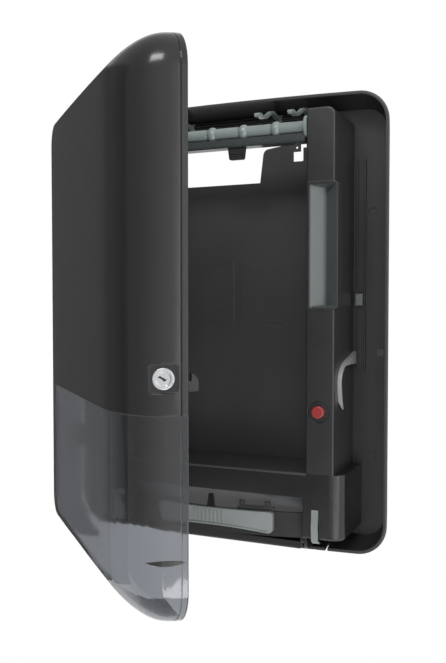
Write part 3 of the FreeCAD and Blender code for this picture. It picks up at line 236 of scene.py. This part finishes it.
# %% [markdown]
# ## Smoked polycarbonate
#
# The lower part of the cover is a clear plastic with a grey dye, moulded in a polished tool. A dye
# dims light by the thickness that it crosses, which a volume shader could do. This wall is equally
# thick nearly all over, so here the tint sits on the surface instead, once where light goes in and
# once where it comes out, which gives the same grey and is simpler. The surface is as glossy as
# glass, and handling dulls it only a little. A rougher one would blur what stands behind it.
# Polycarbonate bends light a little more than window glass does.

# %% The smoked lower cover
POLYCARBONATE_IOR = 1.585


def smoked_polycarbonate():
    material = new_material("smoked_polycarbonate")
    place = add(material, "TexCoord")
    flow = add(material, "TexNoise", {"Scale": per_mm(120.0), "Detail": 2.0},
               {"Vector": place.outputs["Object"]})
    tone = add(material, "ValToRGB", links={"Fac": flow.outputs["Fac"]})
    tone.color_ramp.elements[0].color = colour("7a7e84")
    tone.color_ramp.elements[1].color = colour("82868c")
    marks = add(material, "TexNoise",
                {"Scale": per_mm(24.0), "Detail": 5.0, "Roughness": 0.7},
                {"Vector": place.outputs["Object"]})
    gloss = add(material, "MapRange",
                {"From Min": NOISE_LOW, "From Max": NOISE_HIGH, "To Min": 0.03, "To Max": 0.05},
                {"Value": marks.outputs["Fac"]})
    rounded = add(material, "Bevel", {"samples": 6, "Radius": 0.6 * MM})
    surface = add(material, "BsdfPrincipled",
                  {"IOR": POLYCARBONATE_IOR, "Transmission Weight": 1.0},
                  {"Base Color": tone.outputs["Color"], "Roughness": gloss.outputs["Result"],
                   "Normal": rounded.outputs["Normal"]})
    return finish_material(material, surface)


smoked = smoked_polycarbonate()

# %% [markdown]
# ## Metals
#
# The lock's face is chrome over a die-cast body: a nearly perfect mirror with faint polishing
# marks. The spring, screws, pins and axle are zinc-plated steel, which is greyer and blurs what it
# mirrors. The marks of both are a fine noise, drawn a little coarser than they are so that they
# show. It changes the tone, the gloss and the height together, as a real scratch does.

# %% Chrome and zinc-plated steel
def metal(name, dark, light, roughness, spread, mark_mm, depth_mm):
    material = new_material(name)
    place = add(material, "TexCoord")
    marks = add(material, "TexNoise",
                {"Scale": per_mm(mark_mm), "Detail": 4.0, "Roughness": 0.65},
                {"Vector": place.outputs["Object"]})
    tone = add(material, "ValToRGB", links={"Fac": marks.outputs["Fac"]})
    tone.color_ramp.elements[0].color = colour(dark)
    tone.color_ramp.elements[1].color = colour(light)
    gloss = add(material, "MapRange",
                {"From Min": NOISE_LOW, "From Max": NOISE_HIGH,
                 "To Min": roughness - spread, "To Max": roughness + spread},
                {"Value": marks.outputs["Fac"]})
    rounded = add(material, "Bevel", {"samples": 6, "Radius": 0.25 * MM})
    skin = add(material, "Bump", {"Strength": 0.5, "Distance": depth_mm * MM},
               {"Height": marks.outputs["Fac"], "Normal": rounded.outputs["Normal"]})
    surface = add(material, "BsdfPrincipled", {"Metallic": 1.0},
                  {"Base Color": tone.outputs["Color"], "Roughness": gloss.outputs["Result"],
                   "Normal": skin.outputs["Normal"]})
    return finish_material(material, surface)


chrome = metal("polished_chrome", "b6b8ba", "ced0d2", 0.14, 0.04, 1.6, 0.004)
zinc_steel = metal("zinc_plated_steel", "9a9c9e", "b4b6b7", 0.34, 0.06, 0.9, 0.006)

# %% [markdown]
# ## Which piece is made of what
#
# The CAD nodes keep their shapes and only change their material. One table says which piece has
# which finish, so a piece that was forgotten shows in the count that is printed.

# %% Hand out the materials
finishes = {
    gloss_abs: ["cover_shell", "cover_hinge_arms", "lock_box", "outlet_lip"],
    dark_abs: ["gate_knob", "keyway_shutter", "grip_inlay", "finger_shaft"],
    # housing, panel and shelf: lifted black swatches, painted light
    tray_painted_light_abs: ["rear_housing"],
    panel_painted_light_abs: ["back_panel", "towel_shelf"],
    # lower frame, latch tongue and gate plate: darkened black swatches, painted shade
    frame_painted_shade_abs: ["lower_frame"],
    tongue_painted_shade_abs: ["latch_tongue", "gate_plate"],
    # columns and small inner parts: lifted black swatch, painted light
    grained_painted_light_abs: ["right_column", "left_column", "right_gate_guide", "left_gate_guide", "web_tab",
                  "right_finger_bracket", "left_finger_bracket", "button_bezel", "button_cup",
                  "lock_keeper"],
    insert_abs: ["right_insert", "left_insert"],
    clip_abs: ["right_side_clip", "left_side_clip"],
    roller_acetal: ["guide_roller", "web_fingers", "right_roller_bracket", "left_roller_bracket"],
    rail_abs: ["roller_rail"],
    pale_abs: ["gate_handle", "right_release_tab", "left_release_tab"],
    leaf_acetal: ["brake_leaf"],
    ramp_abs: ["throat_ramp"],
    red_abs: ["push_button"],
    smoked: ["cover_window"],
    chrome: ["lock_cylinder"],
    zinc_steel: ["roller_axle", "button_spring", "column_screws", "hinge_pins"],
}
for material, names in finishes.items():
    for name in names:
        nodes[name].data.materials.clear()
        nodes[name].data.materials.append(material)
print("finished", sum(len(names) for names in finishes.values()), "of", len(nodes), "nodes")

# %% [markdown]
# ## New pieces, cards and lamps share three steps
#
# A shape is drawn in bmesh, its faces are turned outward, and it becomes a mesh with one material.
# The mesh, or a lamp, then stands in the scene as an object. Cards and lamps are aimed at a point.

# %% From a shape to an object in the scene
def finished_mesh(name, shape, material):
    """Mesh of one material from a bmesh, with its faces turned outward."""
    bmesh.ops.recalc_face_normals(shape, faces=shape.faces)
    mesh = bpy.data.meshes.new(name)
    shape.to_mesh(mesh)
    shape.free()
    mesh.materials.append(material)
    print(name, "has", len(mesh.polygons), "faces")
    return mesh


def put_in_scene(name, data):
    thing = bpy.data.objects.new(name, data)
    bpy.context.scene.collection.objects.link(thing)
    return thing


def aim(thing, place, target):
    thing.location = place
    toward = Vector(target) - Vector(place)
    thing.rotation_euler = toward.to_track_quat("-Z", "Y").to_euler()


# %% [markdown]
# ## The scooped inserts
#
# Each column carries a grey insert whose front is hollowed like a scoop, perhaps for a fingertip
# behind the stack. In CAD the scoop is a few faces with creases between them. The moulded one has
# no creases, so here its front is a fine grid of points pushed back by a smooth curve. Two slopes
# meet in a rounded valley halfway: one faces the lamps and is light, and the other turns away from
# them and stays dark. The valley is rounded by mixing both depths, and the mix leans to the
# shallower one, the more so the further they are apart.

# %% The scoop's curve
SCOOP_DEPTH_MM = 11.2
SCOOP_ROUNDING_MM = 1.4
SCOOP_RIM = 0.03
SCOOP_END = 0.014


def scoop_depth(across, along):
    """Depth below the insert's front in mm, for places from 0 to 1 across it and along it."""
    if across <= SCOOP_RIM or across >= 1 - SCOOP_RIM:
        return 0.0
    slope = SCOOP_DEPTH_MM / (0.5 - SCOOP_RIM)
    falling = slope * (across - SCOOP_RIM)
    rising = slope * (1 - SCOOP_RIM - across)
    blend = math.exp(-falling / SCOOP_ROUNDING_MM) + math.exp(-rising / SCOOP_ROUNDING_MM)
    depth = max(0.0, -SCOOP_ROUNDING_MM * math.log(blend))
    edge = min(along, 1 - along) / SCOOP_END
    end = 1.0 if edge >= 1 else edge * edge * (3 - 2 * edge)
    return depth * end


print("depth halfway in mm:", round(scoop_depth(0.5, 0.5), 2))

# %% [markdown]
# The grid covers the CAD piece's own box, so the insert fills the same seat. Its rim is pulled back
# to the rear of the box as four walls, and a last face closes the back. Only bends sharper than 42
# degrees stay sharp.

# %% Make both inserts
SCOOP_COLUMNS = 48
SCOOP_ROWS = 96
SHARP_BEND_DEG = 42.0


def scooped_insert(name, node):
    low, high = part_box(node)
    shape = bmesh.new()
    grid = []
    for row in range(SCOOP_ROWS + 1):
        along = row / SCOOP_ROWS
        line = []
        for column in range(SCOOP_COLUMNS + 1):
            across = column / SCOOP_COLUMNS
            depth = scoop_depth(across, along) * MM
            line.append(shape.verts.new((low.x + across * (high.x - low.x), low.y + depth,
                                         low.z + along * (high.z - low.z))))
        grid.append(line)
    for lower, upper in zip(grid, grid[1:]):
        for left in range(SCOOP_COLUMNS):
            shape.faces.new((lower[left], lower[left + 1], upper[left + 1], upper[left]))
    rim = [edge for edge in shape.edges if edge.is_boundary]
    walls = bmesh.ops.extrude_edge_only(shape, edges=rim)
    for item in walls["geom"]:
        if isinstance(item, bmesh.types.BMVert):
            item.co.y = high.y
    back = [edge for edge in shape.edges if edge.is_boundary]
    bmesh.ops.contextual_create(shape, geom=back)
    mesh = finished_mesh(name, shape, insert_abs)
    mesh.shade_smooth()
    mesh.set_sharp_from_angle(angle=math.radians(SHARP_BEND_DEG))
    piece = put_in_scene(name, mesh)
    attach(piece, "housing")
    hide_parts(node)


scooped_insert("right_scooped_insert", "right_insert")
scooped_insert("left_scooped_insert", "left_insert")

# %% [markdown]
# ## The push button's return spring
#
# Behind the red button a small steel coil pushes it back out. Its solid is a plain sleeve, so here
# the wire is wound: a small circle is carried along a helix, ring by ring. The spring gets shorter
# as the button goes in, but here it is wound at its free length and stays with the housing.

# %% Wind the return spring
SPRING_TURNS = 5
SPRING_WIRE_MM = 0.9
SPRING_STEPS = 20
SPRING_SIDES = 8


def wound_spring(name, node):
    low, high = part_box(node)
    middle, wire = (low + high) / 2, SPRING_WIRE_MM * MM / 2
    radius, length = (high.x - low.x) / 2 - wire, high.y - low.y - 2 * wire
    ring_angles = [2 * math.pi * side / SPRING_SIDES for side in range(SPRING_SIDES)]
    shape, rings = bmesh.new(), []
    for step in range(SPRING_TURNS * SPRING_STEPS + 1):
        angle = 2 * math.pi * step / SPRING_STEPS
        outward = Vector((math.cos(angle), 0, math.sin(angle)))
        along = low.y + wire + length * step / (SPRING_TURNS * SPRING_STEPS)
        centre = Vector((middle.x, along, middle.z)) + outward * radius
        rings.append([shape.verts.new(centre + wire * (math.cos(turn) * outward
                                                       + Vector((0, math.sin(turn), 0))))
                      for turn in ring_angles])
    for first, second in zip(rings, rings[1:]):
        for side in range(SPRING_SIDES):
            after = (side + 1) % SPRING_SIDES
            shape.faces.new((first[side], first[after], second[after], second[side]))
    shape.faces.new(rings[0])
    shape.faces.new(rings[-1])
    mesh = finished_mesh(name, shape, zinc_steel)
    mesh.shade_smooth()
    spring = put_in_scene(name, mesh)
    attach(spring, "housing")
    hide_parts(node)
    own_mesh(spring)
    print("free length in mm:", round((high.y - low.y) / MM, 1))


wound_spring("return_spring", "button_spring")

# %% [markdown]
# ## The keyway
#
# Seen from the front, the keyway of this cam lock is a black wave in the chrome. It could be cut
# into the plug, but a cut so small would hardly show its depth. So it is a thin dark piece just on
# the face of the plug. It is painted shade that stands for the dark inside the slot, and it turns
# with the plug. The joint's own axis says where that face is: it is the highest point of the
# cylinder along the axis, close to it.

# %% Find the plug's face
PLUG_RADIUS_MM = 4.5

lock_joint = next(joint for joint in frame["joints"] if joint["name"] == "lock_turn")
lock_axis = Vector(lock_joint["axis"]).normalized()
lock_centre = Vector(lock_joint["pos_m"])
heights = []
for vertex in nodes["lock_cylinder"].data.vertices:
    away = vertex.co - lock_centre
    height = away.dot(lock_axis)
    if (away - height * lock_axis).length < PLUG_RADIUS_MM * MM:
        heights.append(height)
plug_face = max(heights) * lock_axis + lock_centre
print("plug face at", [round(value, 4) for value in plug_face])

# %% A wavy keyway on it
KEYWAY_MIDDLE_MM = [(-4.2, 0.9), (-3.2, 1.5), (-2.0, 1.2), (-1.0, 0.2), (0.0, -0.9), (1.1, -1.3),
                    (2.4, -0.6)]
KEYWAY_HALF_WIDTH_MM = [0.4, 0.8, 0.95, 0.9, 0.95, 0.8, 0.45]
KEYWAY_LEVELS_MM = (0.02, 0.10)


def wavy_keyway(name):
    sideways = Vector((0, 0, 1)).cross(lock_axis).normalized()
    upward = lock_axis.cross(sideways)
    widths = list(zip(KEYWAY_MIDDLE_MM, KEYWAY_HALF_WIDTH_MM))
    outline = [(x, y + width) for (x, y), width in widths]
    outline += [(x, y - width) for (x, y), width in reversed(widths)]
    shape = bmesh.new()
    under, top = ([shape.verts.new(plug_face + sideways * (x * MM) + upward * (y * MM)
                                   + lock_axis * (level * MM)) for x, y in outline]
                  for level in KEYWAY_LEVELS_MM)
    shape.faces.new(under[::-1])
    shape.faces.new(top)
    for i in range(len(outline)):
        after = (i + 1) % len(outline)
        shape.faces.new((under[i], under[after], top[after], top[i]))
    # The dark piece is painted shade standing for the inside of the slot.
    piece = put_in_scene(name, finished_mesh(name, shape, keyway_painted_shade))
    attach(piece, "lock")


wavy_keyway("wavy_keyway")

# %% [markdown]
# ## Floor and backdrop
#
# The dispenser hangs on a wall that we leave out, so that its window shows white. A white floor
# turns up into a white backdrop far behind. Seen by the camera, in a mirror or through the smoked
# plastic it is pure white. To the lamps it is a pale matt surface that takes a soft shadow. The
# floor ends 1.4 m in front of the wall. One that reached further would be mirrored all along the
# cover's side and turn it grey.

# %% A white sweep
def white_sweep():
    material = new_material("white_backdrop_paper")
    seen = add(material, "LightPath")
    paper = add(material, "BsdfDiffuse", {"Color": colour("e6e6e6")})
    white = add(material, "Emission", {"Color": colour("ffffff"), "Strength": 1.0})
    glossy = add(material, "Math", {"operation": "MAXIMUM"},
                 {0: seen.outputs["Is Camera Ray"], 1: seen.outputs["Is Glossy Ray"]})
    either = add(material, "Math", {"operation": "MAXIMUM"},
                 {0: glossy.outputs[0], 1: seen.outputs["Is Transmission Ray"]})
    surface = add(material, "MixShader", links={0: either.outputs[0], 1: paper.outputs[0],
                                                2: white.outputs[0]})
    return finish_material(material, surface)


# %% Its shape in metres
FLOOR_HEIGHT, FLOOR_START, BACKDROP_DEPTH, BACKDROP_TOP = -1.15, -1.4, 3.2, 5.0
HALF_WIDTH, TURN_RADIUS, TURN_STEPS = 9.0, 1.2, 12


def sweep_mesh(name):
    """Floor and backdrop as one sheet with a round turn between them."""
    section = [(FLOOR_START, FLOOR_HEIGHT)]
    for step in range(TURN_STEPS + 1):
        angle = math.radians(90.0 * step / TURN_STEPS)
        section.append((BACKDROP_DEPTH - TURN_RADIUS + TURN_RADIUS * math.sin(angle),
                        FLOOR_HEIGHT + TURN_RADIUS - TURN_RADIUS * math.cos(angle)))
    section.append((BACKDROP_DEPTH, BACKDROP_TOP))
    points = [(x, y, z) for y, z in section for x in (-HALF_WIDTH, HALF_WIDTH)]
    faces = [(2 * i, 2 * i + 1, 2 * i + 3, 2 * i + 2) for i in range(len(section) - 1)]
    mesh = bpy.data.meshes.new(name)
    mesh.from_pydata(points, [], faces)
    mesh.shade_smooth()
    return mesh


sweep = put_in_scene("studio_sweep", sweep_mesh("studio_sweep"))
sweep.data.materials.append(white_sweep())
print("the sweep has", len(sweep.data.polygons), "faces")

# %% [markdown]
# ## Cards
#
# A glossy black cover mirrors whatever stands to its side, and here that is the white sweep. A dark
# card just outside the picture keeps the plastic black. Two grey cards stand where the cover's
# front and its rounded corner look, because a black one would make them dead. Two black ones draw
# the dark line down the cover's far edge and down the tray's side. They are part of the stage.
# The camera sees them neither directly nor through the smoked plastic, or they would show as dark
# sheets.

# %% Grey and black cards
def card(name, place, target, width, height, hex_text):
    corners = [(x * width / 2, y * height / 2, 0) for x, y in ((-1, -1), (1, -1), (1, 1), (-1, 1))]
    mesh = bpy.data.meshes.new(name)
    mesh.from_pydata(corners, [], [(0, 1, 2, 3)])
    material = new_material(name + "_velvet")
    velvet = add(material, "BsdfDiffuse", {"Color": colour(hex_text)})
    mesh.materials.append(finish_material(material, velvet))
    sheet = put_in_scene(name, mesh)
    aim(sheet, place, target)
    sheet.visible_camera = False
    sheet.visible_transmission = False


card("left_card", (-1.45, 0.75, 0.0), (-0.1, -0.2, 0.0), 1.5, 2.2, "6c6c6c")
card("corner_card", (-1.56, -0.36, 0.0), (-0.3, -0.2, 0.0), 1.12, 2.2, "7c7c7c")
card("edge_card", (-0.95, 0.78, 0.0), (-0.3, -0.05, 0.0), 0.24, 2.0, "0c0c0c")
card("back_card", (0.26, 0.80, 0.0), (0.18, -0.05, 0.0), 0.95, 1.8, "0c0c0c")

# %% [markdown]
# ## Lamps
#
# Three softboxes light the cabinet. The key hangs high in front, the right one fills the open
# compartment from the side, and the low one reaches the gate from below. The cover's side is bowed,
# so it mirrors nearly everything that stands level with it on the near side. That is why the key
# and the low lamp are well above and below it, and the right lamp stands just past the end of what
# it mirrors: the black plastic stays free of bright bands.

# %% Three softboxes
def softbox(name, place, target, size, watts):
    light = bpy.data.lights.new(name, "AREA")
    light.shape = "RECTANGLE"
    light.size, light.size_y = size
    light.energy = watts
    aim(put_in_scene(name, light), place, target)
    print(name, "gives", watts, "W")


softbox("key_softbox", (0.25, -1.8, 1.55), (0.05, -0.1, 0.05), (1.2, 0.5), 20.0)
softbox("right_softbox", (2.0, -1.20, 0.1), (-0.1, -0.15, 0.0), (0.28, 1.8), 7.0)
softbox("low_softbox", (1.05, -1.3, -0.95), (0.05, -0.1, 0.0), (1.0, 0.5), 7.0)

# %% [markdown]
# ## The air of the studio
#
# The world is the large soft light of a white room. It grows from dim at the left to bright at the
# right, and the bowed side of the cover mirrors that as a gentle gradient, lighter towards its rear
# edge. A lamp could only draw a hard band there. The camera sees the room as plain white, so it
# joins the sweep with no seam.

# %% A world that grows brighter to the right
WORLD_LEFT, WORLD_RIGHT = 0.40, 1.25

world = bpy.data.worlds.new("studio_air")
bpy.context.scene.world = world
world.use_nodes = True
world.node_tree.nodes.clear()
direction = add(world, "TexCoord")
across = add(world, "SeparateXYZ", links={0: direction.outputs["Generated"]})
room = add(world, "MapRange",
           {"From Min": -1.0, "From Max": 1.0, "To Min": WORLD_LEFT, "To Max": WORLD_RIGHT},
           {"Value": across.outputs["X"]})
seen = add(world, "LightPath")
strength = add(world, "Mix", {"data_type": "FLOAT", 3: 1.0},
               {0: seen.outputs["Is Camera Ray"], 2: room.outputs["Result"]})
air = add(world, "Background", {"Color": colour("ffffff")}, {"Strength": strength.outputs[0]})
add(world, "OutputWorld", links={"Surface": air.outputs[0]})
print("the world goes from", WORLD_LEFT, "to", WORLD_RIGHT)

# %% [markdown]
# ## The camera
#
# The view is from the front right, a little above the middle of the cabinet and close to it. The
# short distance is what makes the open cover look so much taller than the tray behind it.

# %% Camera
CAMERA_PLACE = Vector((370.0, -878.0, 33.9)) * MM
CAMERA_TURN = math.radians(24.11)
CAMERA_TILT = math.radians(2.01)
LENS_MM = 43.95
FILM_HEIGHT_MM = 36.0

camera_data = bpy.data.cameras.new("camera")
camera_data.lens = LENS_MM
camera_data.sensor_fit = "VERTICAL"
camera_data.sensor_height = FILM_HEIGHT_MM
camera_data.clip_start = 0.02
camera = put_in_scene("camera", camera_data)
camera.location = CAMERA_PLACE
camera.rotation_euler = (math.radians(90.0) - CAMERA_TILT, 0.0, CAMERA_TURN)
bpy.context.scene.camera = camera
bpy.context.scene.view_settings.view_transform = "Standard"
print("camera distance in metres:", round(CAMERA_PLACE.length, 3))
